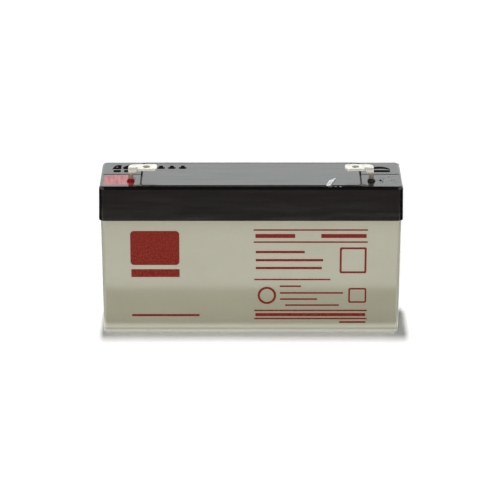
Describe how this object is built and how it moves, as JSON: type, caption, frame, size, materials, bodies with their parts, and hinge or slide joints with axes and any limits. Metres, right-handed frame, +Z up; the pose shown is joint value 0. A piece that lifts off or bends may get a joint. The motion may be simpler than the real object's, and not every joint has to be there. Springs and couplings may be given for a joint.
{
  "type": "sealed lead acid battery",
  "caption": "Small sealed lead acid block, 6 V, with push-on flag tabs at the front corners and the cells inside.",
  "frame": {"origin": "middle of the underside", "axes": "+X along the length, from the positive tab to the negative tab; +Y from the front, where the tabs are, to the back; +Z up"},
  "size_m": [0.097, 0.025, 0.0545],
  "materials": {
    "case_grey": "moulded warm grey ABS, satin with a soft sheen",
    "lid_black": "moulded black ABS, gloss",
    "resin_red": "poured epoxy, red, gloss with brush streaks",
    "resin_black": "poured epoxy, black, gloss with small bubbles",
    "tinned_brass": "stamped brass strip, bright tin plate",
    "cap_rubber": "moulded rubber",
    "positive_paste": "lead dioxide paste in a cast lead frame, dark brown",
    "negative_paste": "sponge lead paste in a cast lead frame, grey",
    "glass_mat": "pressed fine glass fibre, white",
    "cast_lead": "cast lead, dull"
  },
  "bodies": {
    "root": {"container": "case_grey", "intercell_weld_1": "cast_lead", "intercell_weld_2": "cast_lead", "lid": "lid_black", "negative_plate_1_1": "negative_paste", "negative_plate_1_2": "negative_paste", "negative_plate_1_3": "negative_paste", "negative_plate_1_4": "negative_paste", "negative_plate_2_1": "negative_paste", "negative_plate_2_2": "negative_paste", "negative_plate_2_3": "negative_paste", "negative_plate_2_4": "negative_paste", "negative_plate_3_1": "negative_paste", "negative_plate_3_2": "negative_paste", "negative_plate_3_3": "negative_paste", "negative_plate_3_4": "negative_paste", "positive_plate_1_1": "positive_paste", "positive_plate_1_2": "positive_paste", "positive_plate_1_3": "positive_paste", "positive_plate_2_1": "positive_paste", "positive_plate_2_2": "positive_paste", "positive_plate_2_3": "positive_paste", "positive_plate_3_1": "positive_paste", "positive_plate_3_2": "positive_paste", "positive_plate_3_3": "positive_paste", "resin_negative": "resin_black", "resin_positive": "resin_red", "separator_1_1": "glass_mat", "separator_1_2": "glass_mat", "separator_1_3": "glass_mat", "separator_2_1": "glass_mat", "separator_2_2": "glass_mat", "separator_2_3": "glass_mat", "separator_3_1": "glass_mat", "separator_3_2": "glass_mat", "separator_3_3": "glass_mat", "strap_negative_1": "cast_lead", "strap_negative_2": "cast_lead", "strap_negative_3": "cast_lead", "strap_positive_1": "cast_lead", "strap_positive_2": "cast_lead", "strap_positive_3": "cast_lead", "terminal_negative": "tinned_brass", "terminal_positive": "tinned_brass", "valve_cap_1": "cap_rubber", "valve_cap_2": "cap_rubber", "valve_cap_3": "cap_rubber", "vent_cover": "lid_black"}
  },
  "joints": []
}
